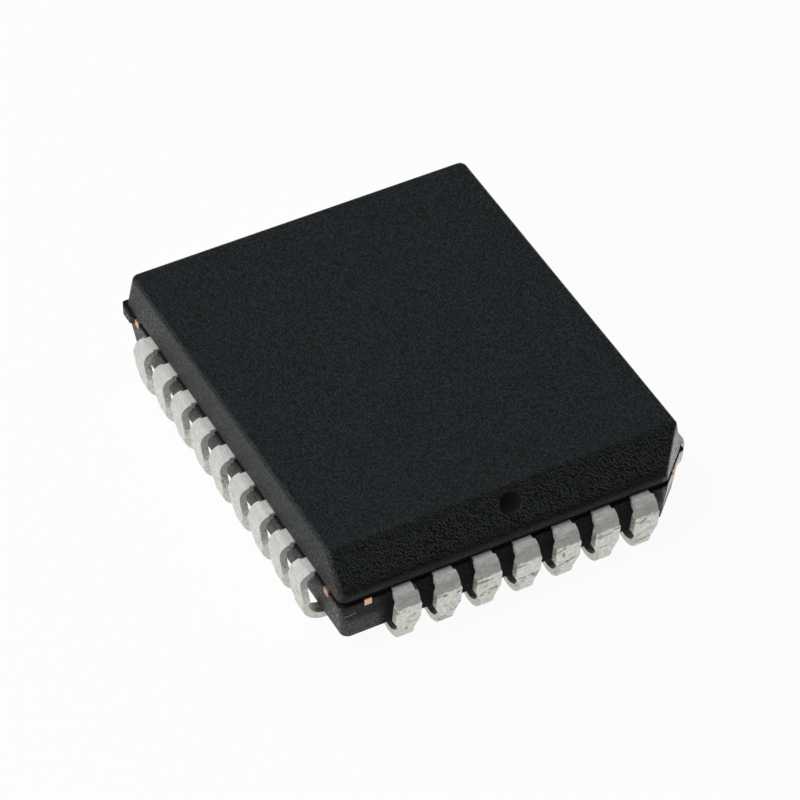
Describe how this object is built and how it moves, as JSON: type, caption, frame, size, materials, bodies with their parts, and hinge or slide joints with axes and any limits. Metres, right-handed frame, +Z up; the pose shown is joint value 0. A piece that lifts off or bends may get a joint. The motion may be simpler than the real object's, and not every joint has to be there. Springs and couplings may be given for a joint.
{
  "type": "plastic leaded chip carrier",
  "caption": "Rectangular J-lead surface-mount chip carrier: matte black moulded body with a bevelled index edge, dimple and cut corner, tinned leads curled under all four sides.",
  "frame": {"origin": "middle of the lead outline on the seating plane, under the lowest points of the lead feet", "axes": "+Z up out of the bare top face, +Y away from the bevelled index side along the long sides, +X towards the side with the cut corner"},
  "size_m": [0.0124, 0.015, 0.0033],
  "materials": {
    "mould_compound": "matte black moulded epoxy with a fine spark-eroded grain",
    "tin": "dull tin plate with forming marks",
    "copper": "bare copper alloy, sawn ends",
    "silver_epoxy": "silver-filled epoxy",
    "silicon": "polished silicon",
    "gold": "drawn gold wire"
  },
  "bodies": {
    "root": {"body": "mould_compound", "lead_01": "tin", "lead_02": "tin", "lead_03": "tin", "lead_04": "tin", "lead_05": "tin", "lead_06": "tin", "lead_07": "tin", "lead_08": "tin", "lead_09": "tin", "lead_10": "tin", "lead_11": "tin", "lead_12": "tin", "lead_13": "tin", "lead_14": "tin", "lead_15": "tin", "lead_16": "tin", "lead_17": "tin", "lead_18": "tin", "lead_19": "tin", "lead_20": "tin", "lead_21": "tin", "lead_22": "tin", "lead_23": "tin", "lead_24": "tin", "lead_25": "tin", "lead_26": "tin", "lead_27": "tin", "lead_28": "tin", "lead_29": "tin", "lead_30": "tin", "lead_31": "tin", "lead_32": "tin", "die_paddle": "copper", "die_attach": "silver_epoxy", "die": "silicon", "bond_wires": "gold"}
  },
  "joints": []
}
